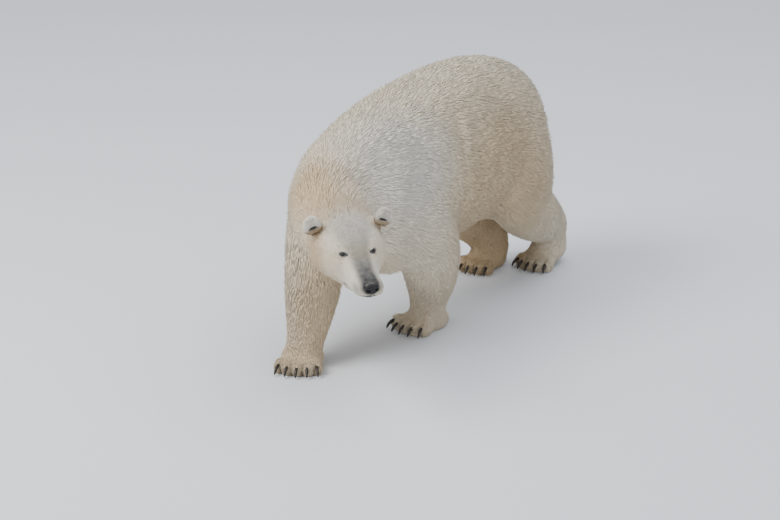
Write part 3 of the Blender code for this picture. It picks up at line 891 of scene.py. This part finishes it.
def tuft_mesh(name, roots, rings, tips, up, tints, places):
    """One closed spindle for each tuft: a root, a ring of three points and a tip."""
    count = len(tips)
    points = np.concatenate([roots[:, None], rings, tips[:, None]], axis=1).astype(np.float32)
    faces = np.array(TUFT_FACES)
    loops = (np.arange(count)[:, None] * 5 + faces.ravel()).ravel()
    data = bpy.data.meshes.new(name)
    data.vertices.add(count * 5)
    data.vertices.foreach_set("co", points.ravel())
    data.loops.add(len(loops))
    data.loops.foreach_set("vertex_index", loops.astype(np.int32))
    data.polygons.add(count * len(faces))
    data.polygons.foreach_set("loop_start", np.arange(0, len(loops), 3, dtype=np.int32))
    data.update(calc_edges=True)
    data.shade_smooth()
    patch = PATCH * np.array(PATCH_POINTS)[faces.ravel()]
    corners = np.clip(places[:, None] + patch, 0, 1).astype(np.float32)
    data.uv_layers.new(name="OFBake").uv.foreach_set("vector", corners.ravel())
    along = data.attributes.new("along", "FLOAT", "POINT")
    along.data.foreach_set("value", np.tile(np.array([0, 0.4, 0.4, 0.4, 1], np.float32), count))
    hide_up = data.attributes.new("hide_up", "FLOAT_VECTOR", "POINT")
    hide_up.data.foreach_set("vector", np.repeat(up.astype(np.float32), 5, axis=0).ravel())
    for kind, value in tints.items():
        given = data.attributes.new(kind, "FLOAT", "POINT")
        given.data.foreach_set("value", np.repeat(value.astype(np.float32), 5))
    return data


def grown(name, roots, up, lie, length, width, pull_share, tints, places, rng):
    """Adds a coat piece: a tuft on each root, with its neighbours drawn together into locks."""
    count = len(roots)
    side = np.cross(up, lie)
    waves = np.array([
        0.8 * noise.noise(Vector(root) / 0.11) + 0.5 * noise.noise(Vector(root) / 0.035) for root in roots
    ])
    sway = SWAY * waves + rng.normal(0, 0.08, count)
    ahead = lie * np.cos(sway)[:, None] + side * np.sin(sway)[:, None]
    across = np.cross(up, ahead)
    rise = TUFT_RISE + rng.normal(0, 0.09, count)
    bend = TUFT_BEND + rng.normal(0, 0.09, count)
    first = length[:, None] * MID_SHARE * (ahead * np.cos(rise)[:, None] + up * np.sin(rise)[:, None])
    second = length[:, None] * (1 - MID_SHARE) * (ahead * np.cos(bend)[:, None] + up * np.sin(bend)[:, None])
    mid = roots + first
    tips = mid + second + across * (length * rng.normal(0, 0.05, count))[:, None]
    lock_cell = np.floor(roots / LOCK_SPACING).astype(np.int64)
    lock_key = (lock_cell[:, 0] * 8191 + lock_cell[:, 1]) * 8191 + lock_cell[:, 2]
    leaders = np.unique(lock_key, return_index=True)[1]
    tree = KDTree(len(leaders))
    for number, leader in enumerate(leaders):
        tree.insert(roots[leader] + 0.4 * (tips[leader] - roots[leader]), number)
    tree.balance()
    nearest = leaders[[tree.find(point)[1] for point in roots + 0.4 * (tips - roots)]]
    pull = tips[nearest] - tips
    pull -= ahead * (pull * ahead).sum(1)[:, None] * 0.7
    pull *= (pull_share * np.minimum(1, length / 0.03))[:, None]
    tips = tips + pull
    mid = mid + 0.3 * pull
    wide = across * (0.5 * width)[:, None]
    tall = up * (TUFT_RIDGE * width)[:, None]
    rings = np.stack([mid - wide, mid + wide, mid + tall], axis=1)
    roots = roots - up * ROOT_SINK
    for points in (roots, rings, tips):
        points[..., 2] = np.maximum(points[..., 2], FLOOR_CLEARANCE)
    tints["lot"] = rng.random(count)
    piece = bpy.data.objects.new(name, tuft_mesh(name, roots, rings, tips, up, tints, places))
    bpy.context.scene.collection.objects.link(piece)
    piece.data.materials.append(coat_material)
    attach(piece, "root")


def coat_piece(name, chosen, seed):
    """Adds the tufts over some of the skin's triangles."""
    rng = np.random.default_rng(seed)
    at, weights, number = scattered(chosen, tuft_spacing, rng)
    up = blend(skin_normals, at, weights)
    up /= np.linalg.norm(up, axis=1)[:, None]
    lie = flattened(blend(skin_lie, at, weights), up)
    count = len(at)
    length = TUFT_LENGTH[0] + TUFT_LENGTH[1] * blend(coat_deep, at, weights)
    length *= rng.uniform(0.78, 1.18, count)
    width = TUFT_WIDTH * blend(tuft_spacing, at, weights) * rng.uniform(0.8, 1.2, count)
    tints = {kind: blend(value, at, weights) for kind, value in skin_tints.items()}
    locks = LOCK_PULL[0] + (LOCK_PULL[1] - LOCK_PULL[0]) * blend(lock_marks, at, weights)
    places = (unwrapped(chosen)[number] * weights[:, :, None]).sum(1)
    grown(name, blend(skin_points, at, weights), up, lie, length, width, locks, tints, places, rng)


nose_corners = in_head(points_of(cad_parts["nose"].data))
nose_half = (nose_corners.max(0) - nose_corners.min(0)) / 2

coat_material = bpy.data.materials.new("bear_coat")
coat_material.use_nodes = True
tree = coat_material.node_tree
surface = tree.nodes["Principled BSDF"]
tints = node_of(tree, "ShaderNodeGroup", node_tree=bear_tints)
along = node_of(tree, "ShaderNodeAttribute", attribute_name="along")
lot = node_of(tree, "ShaderNodeAttribute", attribute_name="lot")
colour = tints.outputs["Color"]
for value in (scaled(tree, along.outputs["Fac"], 0.16, 0.86), scaled(tree, lot.outputs["Fac"], 0.12, 0.93)):
    shade_colour = node_of(tree, "ShaderNodeCombineColor")
    for channel in range(3):
        tree.links.new(value, shade_colour.inputs[channel])
    colour = mixed(tree, 1.0, colour, shade_colour.outputs[0], "MULTIPLY")
tree.links.new(colour, surface.inputs["Base Color"])
surface.inputs["Roughness"].default_value = 0.8
surface.inputs["Specular IOR Level"].default_value = 0.12
# The hair scatters light as a soft mass, so its shading leans to the hide's own slope.
own = node_of(tree, "ShaderNodeNewGeometry")
hide_up = node_of(tree, "ShaderNodeAttribute", attribute_name="hide_up")
soft = node_of(tree, "ShaderNodeMix", data_type="VECTOR")
facing = node_of(tree, "ShaderNodeVectorMath", operation="DOT_PRODUCT")
tree.links.new(own.outputs["Normal"], facing.inputs[0])
tree.links.new(hide_up.outputs["Vector"], facing.inputs[1])
share = node_of(tree, "ShaderNodeMapRange", interpolation_type="SMOOTHSTEP")
share.inputs["From Min"].default_value = -0.1
share.inputs["From Max"].default_value = 0.4
share.inputs["To Max"].default_value = SOFT_SHADING
tree.links.new(facing.outputs["Value"], share.inputs["Value"])
tree.links.new(share.outputs["Result"], soft.inputs[0])
tree.links.new(own.outputs["Normal"], soft.inputs[4])
tree.links.new(hide_up.outputs["Vector"], soft.inputs[5])
even = node_of(tree, "ShaderNodeVectorMath", operation="NORMALIZE")
tree.links.new(soft.outputs[1], even.inputs[0])
tree.links.new(even.outputs[0], surface.inputs["Normal"])

face_regions = skin_regions[skin_triangles[:, 0]]
face_middles = skin_points[skin_triangles].mean(1)
face_up = skin_normals[skin_triangles].mean(1)
on_nose = in_head(face_middles) - np.array(TO_HEAD @ middle("nose"))
furred = np.linalg.norm(on_nose / nose_half, axis=1) > 1.02
furred &= ~((face_up[:, 2] < -0.6) & np.isin(face_regions, paws))
furred &= bare[skin_triangles].mean(1) < 0.5
on_left_side_of_head = in_head(face_middles)[:, 0] > 0
left_side = face_middles[:, 0] > trunk_middle.x
fore = face_middles[:, 1] < trunk_middle.y
on_face_side = np.isin(face_regions, ("head", "lid_left", "lid_right"))
on_body = np.isin(face_regions, ("trunk", "tail"))
coat_places = {
    "coat_head_left": on_face_side & on_left_side_of_head,
    "coat_head_right": on_face_side & ~on_left_side_of_head,
    "coat_ears": np.isin(face_regions, ("ear_left", "ear_right")),
    "coat_neck": face_regions == "neck",
    "coat_trunk_fore_left": on_body & fore & left_side,
    "coat_trunk_fore_right": on_body & fore & ~left_side,
    "coat_trunk_hind_left": on_body & ~fore & left_side,
    "coat_trunk_hind_right": on_body & ~fore & ~left_side,
}
for leg, paw in zip(legs, paws):
    coat_places["coat_" + leg] = np.isin(face_regions, (leg, paw))
for seed, (name, chosen) in enumerate(coat_places.items()):
    coat_piece(name, np.flatnonzero(chosen & furred), seed)

# ---- Eyes ----
# Small dark brown eyes, wet and glossy. Each is a ball in the lids with a black pupil, a brown iris
# with a darker edge, and a clear bulge in front of them.

EYE_RADIUS = 0.0121
CORNEA = 0.0007  # how far the clear front stands out
IRIS_EDGE = math.radians(37)

eye_material = bpy.data.materials.new("bear_eye")
eye_material.use_nodes = True
tree = eye_material.node_tree
surface = tree.nodes["Principled BSDF"]
off_gaze = node_of(tree, "ShaderNodeAttribute", attribute_name="off_gaze")
rings_of_eye = node_of(tree, "ShaderNodeValToRGB")
ramp = rings_of_eye.color_ramp
ramp.elements[0].position = 0.36
ramp.elements[0].color = (0.002, 0.002, 0.002, 1)
ramp.elements[1].position = 1.0
ramp.elements[1].color = (0.020, 0.012, 0.009, 1)
for place, tint in (
    (0.42, (0.020, 0.010, 0.006, 1)),
    (0.80, (0.013, 0.007, 0.004, 1)),
    (0.93, (0.003, 0.002, 0.002, 1)),
):
    ramp.elements.new(place).color = tint
tree.links.new(off_gaze.outputs["Fac"], rings_of_eye.inputs["Fac"])
streaks = node_of(tree, "ShaderNodeTexNoise")
streaks.inputs["Scale"].default_value = 900
places = node_of(tree, "ShaderNodeTexCoord")
tree.links.new(places.outputs["Object"], streaks.inputs["Vector"])
streak_colour = node_of(tree, "ShaderNodeCombineColor")
streak_shade = scaled(tree, streaks.outputs["Fac"], 1.2, 0.4)
for channel in range(3):
    tree.links.new(streak_shade, streak_colour.inputs[channel])
colour = mixed(tree, 1.0, rings_of_eye.outputs["Color"], streak_colour.outputs[0], "MULTIPLY")
tree.links.new(colour, surface.inputs["Base Color"])
surface.inputs["Roughness"].default_value = 0.15
surface.inputs["Specular IOR Level"].default_value = 0.25
surface.inputs["Coat Weight"].default_value = 0.35
surface.inputs["Coat Roughness"].default_value = 0.03

for word, turned in EYES.items():
    bpy.ops.object.select_all(action="DESELECT")
    bpy.ops.mesh.primitive_uv_sphere_add(segments=64, ring_count=48, radius=1)
    ball = bpy.context.object
    ball.name = "eyeball_" + word
    off_gaze = []
    for vert in ball.data.vertices:
        angle = math.acos(max(-1, min(1, vert.co.z)))
        off_gaze.append(min(angle / IRIS_EDGE, 1.0))
        bulge = CORNEA * max(0.0, 1 - (angle / IRIS_EDGE) ** 2)
        vert.co = turned @ ((EYE_RADIUS - CORNEA / 2 + bulge) * vert.co)
    given = ball.data.attributes.new("off_gaze", "FLOAT", "POINT")
    given.data.foreach_set("value", off_gaze)
    ball.data.shade_smooth()
    ball.data.materials.append(eye_material)
    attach(ball, "root")
    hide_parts("eye_" + word)

# ---- Nose ----
# The bare pad on the end of the muzzle: black, moist, pebbled leather, broad above and narrow below,
# with two comma-shaped nostrils and a groove down to the lip.

NOSE_ROLL = math.radians(-6)
NOSTRIL_AT = (0.0150, 0.0000)  # from the groove and up
NOSTRIL_HALF = (0.0085, 0.0065)
NOSTRIL_DEEP = 0.0085
SLIT_FROM = (0.0200, 0.0010)
SLIT_TO = (0.0330, 0.0035)
SLIT_HALF = 0.0030
GROOVE_HALF = 0.0016
GROOVE_DEEP = 0.0028
WING_SWELL = 0.0008  # how far the rim of a nostril stands out

nose_turned = HEAD @ Matrix.Translation(TO_HEAD @ middle("nose")) @ Matrix.Rotation(NOSE_ROLL, 4, "Y")
bpy.ops.object.select_all(action="DESELECT")
bpy.ops.mesh.primitive_uv_sphere_add(segments=160, ring_count=110, radius=1)
nose_pad = bpy.context.object
nose_pad.name = "nose_pad"
for vert in nose_pad.data.vertices:
    x, y, z = vert.co.x, -vert.co.z, vert.co.y
    square = min(max(abs(x), abs(z), 0.5) ** -0.22, 1.12)
    across = nose_half[0] * x * square * (0.80 + 0.24 * z)
    up = nose_half[2] * z * square
    deep = nose_half[1] * (0.78 * y + 0.10 - 0.16 * z)
    if y < 0:
        side_at = abs(across)
        hole = math.hypot((side_at - NOSTRIL_AT[0]) / NOSTRIL_HALF[0], (up - NOSTRIL_AT[1]) / NOSTRIL_HALF[1])
        t = max(0.0, min(1.0, (side_at - SLIT_FROM[0]) / (SLIT_TO[0] - SLIT_FROM[0])))
        slit_up = SLIT_FROM[1] + (SLIT_TO[1] - SLIT_FROM[1]) * t - 0.0035 * math.sin(math.pi * t)
        slit_across = side_at - SLIT_FROM[0] - (SLIT_TO[0] - SLIT_FROM[0]) * t
        slit_away = math.hypot(slit_across, up - slit_up) / SLIT_HALF
        wing = math.exp(-((hole - 1.35) / 0.28) ** 2) * step(-0.012, 0.004, up)
        groove = math.exp(-(across / GROOVE_HALF) ** 2) * step(0.004, -0.004, up)
        deep += NOSTRIL_DEEP * step(1.05, 0.55, hole) + 0.5 * NOSTRIL_DEEP * step(1.0, 0.35, slit_away)
        deep += GROOVE_DEEP * groove - WING_SWELL * wing
    vert.co = nose_turned @ Vector((across, deep, up))

nose_material = bpy.data.materials.new("bear_nose")
nose_material.use_nodes = True
tree = nose_material.node_tree
surface = tree.nodes["Principled BSDF"]
places = node_of(tree, "ShaderNodeTexCoord")
pebbles = node_of(tree, "ShaderNodeTexVoronoi", feature="SMOOTH_F1")
pebbles.inputs["Scale"].default_value = 620
tree.links.new(places.outputs["Object"], pebbles.inputs["Vector"])
damp = node_of(tree, "ShaderNodeTexNoise")
damp.inputs["Scale"].default_value = 60
damp.inputs["Detail"].default_value = 4
tree.links.new(places.outputs["Object"], damp.inputs["Vector"])
black = mixed(tree, damp.outputs["Fac"], (0.005, 0.005, 0.006, 1), (0.014, 0.013, 0.014, 1))
tree.links.new(black, surface.inputs["Base Color"])
tree.links.new(scaled(tree, damp.outputs["Fac"], 0.30, 0.30), surface.inputs["Roughness"])
surface.inputs["Specular IOR Level"].default_value = 0.35
pebble_bump = node_of(tree, "ShaderNodeBump")
pebble_bump.inputs["Strength"].default_value = 0.6
pebble_bump.inputs["Distance"].default_value = 0.0006
tree.links.new(scaled(tree, pebbles.outputs["Distance"], -1.0, 1.0), pebble_bump.inputs["Height"])
tree.links.new(pebble_bump.outputs["Normal"], surface.inputs["Normal"])
nose_pad.data.materials.append(nose_material)
nose_pad.data.shade_smooth()
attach(nose_pad, "root")
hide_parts("nose")

# ---- Claws ----
# Five short curved claws on each paw, of dark brown horn with a fine mottled grain. Each is the CAD
# claw with its facets rounded off.

CLAW_THICKER = 0.0015  # makes up for what the rounding takes off
CLAW_SET_BACK = 0.012  # into the toe, so that its hair covers the root

claw_material = bpy.data.materials.new("bear_claw")
claw_material.use_nodes = True
tree = claw_material.node_tree
surface = tree.nodes["Principled BSDF"]
places = node_of(tree, "ShaderNodeTexCoord")
grain = node_of(tree, "ShaderNodeTexNoise")
grain.inputs["Scale"].default_value = 240
grain.inputs["Detail"].default_value = 4
tree.links.new(places.outputs["Object"], grain.inputs["Vector"])
horn = mixed(tree, grain.outputs["Fac"], (0.010, 0.008, 0.007, 1), (0.045, 0.033, 0.025, 1))
tree.links.new(horn, surface.inputs["Base Color"])
tree.links.new(scaled(tree, grain.outputs["Fac"], 0.25, 0.30), surface.inputs["Roughness"])
grain_bump = node_of(tree, "ShaderNodeBump")
grain_bump.inputs["Strength"].default_value = 0.4
grain_bump.inputs["Distance"].default_value = 0.0004
tree.links.new(grain.outputs["Fac"], grain_bump.inputs["Height"])
tree.links.new(grain_bump.outputs["Normal"], surface.inputs["Normal"])

for name in sorted(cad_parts):
    if not name.startswith("claw_"):
        continue
    claw = bpy.data.objects.new(name.replace("claw", "horn"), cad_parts[name].data.copy())
    bpy.context.scene.collection.objects.link(claw)
    claw.data.materials.clear()
    paw = name.rsplit("_", 1)[0].replace("claw", "paw")
    into_toe = (middle(paw) - middle(name)) * Vector((1, 1, 0))
    claw.data.transform(Matrix.Translation(CLAW_SET_BACK * into_toe.normalized()))
    bpy.ops.object.select_all(action="DESELECT")
    claw.select_set(True)
    bpy.context.view_layer.objects.active = claw
    bpy.ops.object.mode_set(mode="EDIT")
    bpy.ops.mesh.select_all(action="SELECT")
    bpy.ops.mesh.remove_doubles(threshold=0.00002)
    bpy.ops.mesh.tris_convert_to_quads()
    bpy.ops.object.mode_set(mode="OBJECT")
    rounding = claw.modifiers.new("rounding", "SUBSURF")
    rounding.levels = 2
    rounding.render_levels = 2
    thicken = claw.modifiers.new("thicken", "DISPLACE")
    thicken.strength = CLAW_THICKER
    thicken.mid_level = 0
    apply_modifiers(claw)
    claw.data.shade_smooth()
    claw.data.materials.append(claw_material)
    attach(claw, "root")
    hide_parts(name)

# ---- Floor, light and camera ----
# A plain pale studio floor under one broad warm light, a wide cool one above and a weak one low on the
# other side. A long lens looks down from ahead of the bear and to its left.

CAMERA_TARGET = Vector((-0.120, -0.080, 0.274))
CAMERA_AZIMUTH = math.radians(33)
CAMERA_ELEVATION = math.radians(20)
CAMERA_DISTANCE = 12.0
CAMERA_LENS = 142.3

bpy.ops.mesh.primitive_plane_add(size=60)
floor = bpy.context.object
floor.name = "studio_floor"
floor_material = bpy.data.materials.new("studio_floor")
floor_material.use_nodes = True
surface = floor_material.node_tree.nodes["Principled BSDF"]
surface.inputs["Base Color"].default_value = (0.748, 0.776, 0.822, 1)
surface.inputs["Roughness"].default_value = 0.9
surface.inputs["Specular IOR Level"].default_value = 0.1
floor.data.materials.append(floor_material)

world = bpy.data.worlds.new("studio")
world.use_nodes = True
world.node_tree.nodes["Background"].inputs["Color"].default_value = (0.86, 0.89, 0.94, 1)
world.node_tree.nodes["Background"].inputs["Strength"].default_value = 0.71
bpy.context.scene.world = world


def softbox(name, at, size, power, colour):
    bpy.ops.object.light_add(type="AREA", location=at)
    light = bpy.context.object
    light.name = name
    light.data.size = size
    light.data.energy = power
    light.data.color = colour
    light.rotation_euler = (CAMERA_TARGET - Vector(at)).to_track_quat("-Z", "Y").to_euler()


softbox("key_light", (-3.0, -4.2, 5.6), 4.0, 505, (1.0, 0.97, 0.93))
softbox("sky_light", (1.0, 2.0, 6.5), 6.0, 260, (0.93, 0.96, 1.0))
softbox("low_light", (4.6, -2.6, 1.1), 3.0, 48, (1.0, 0.98, 0.95))

back = Vector((
    math.sin(CAMERA_AZIMUTH) * math.cos(CAMERA_ELEVATION),
    -math.cos(CAMERA_AZIMUTH) * math.cos(CAMERA_ELEVATION),
    math.sin(CAMERA_ELEVATION),
))
bpy.ops.object.camera_add(location=CAMERA_TARGET + CAMERA_DISTANCE * back)
camera = bpy.context.object
camera.rotation_euler = (-back).to_track_quat("-Z", "Y").to_euler()
camera.data.lens = CAMERA_LENS
camera.data.sensor_width = 36
camera.data.clip_end = 100
bpy.context.scene.camera = camera
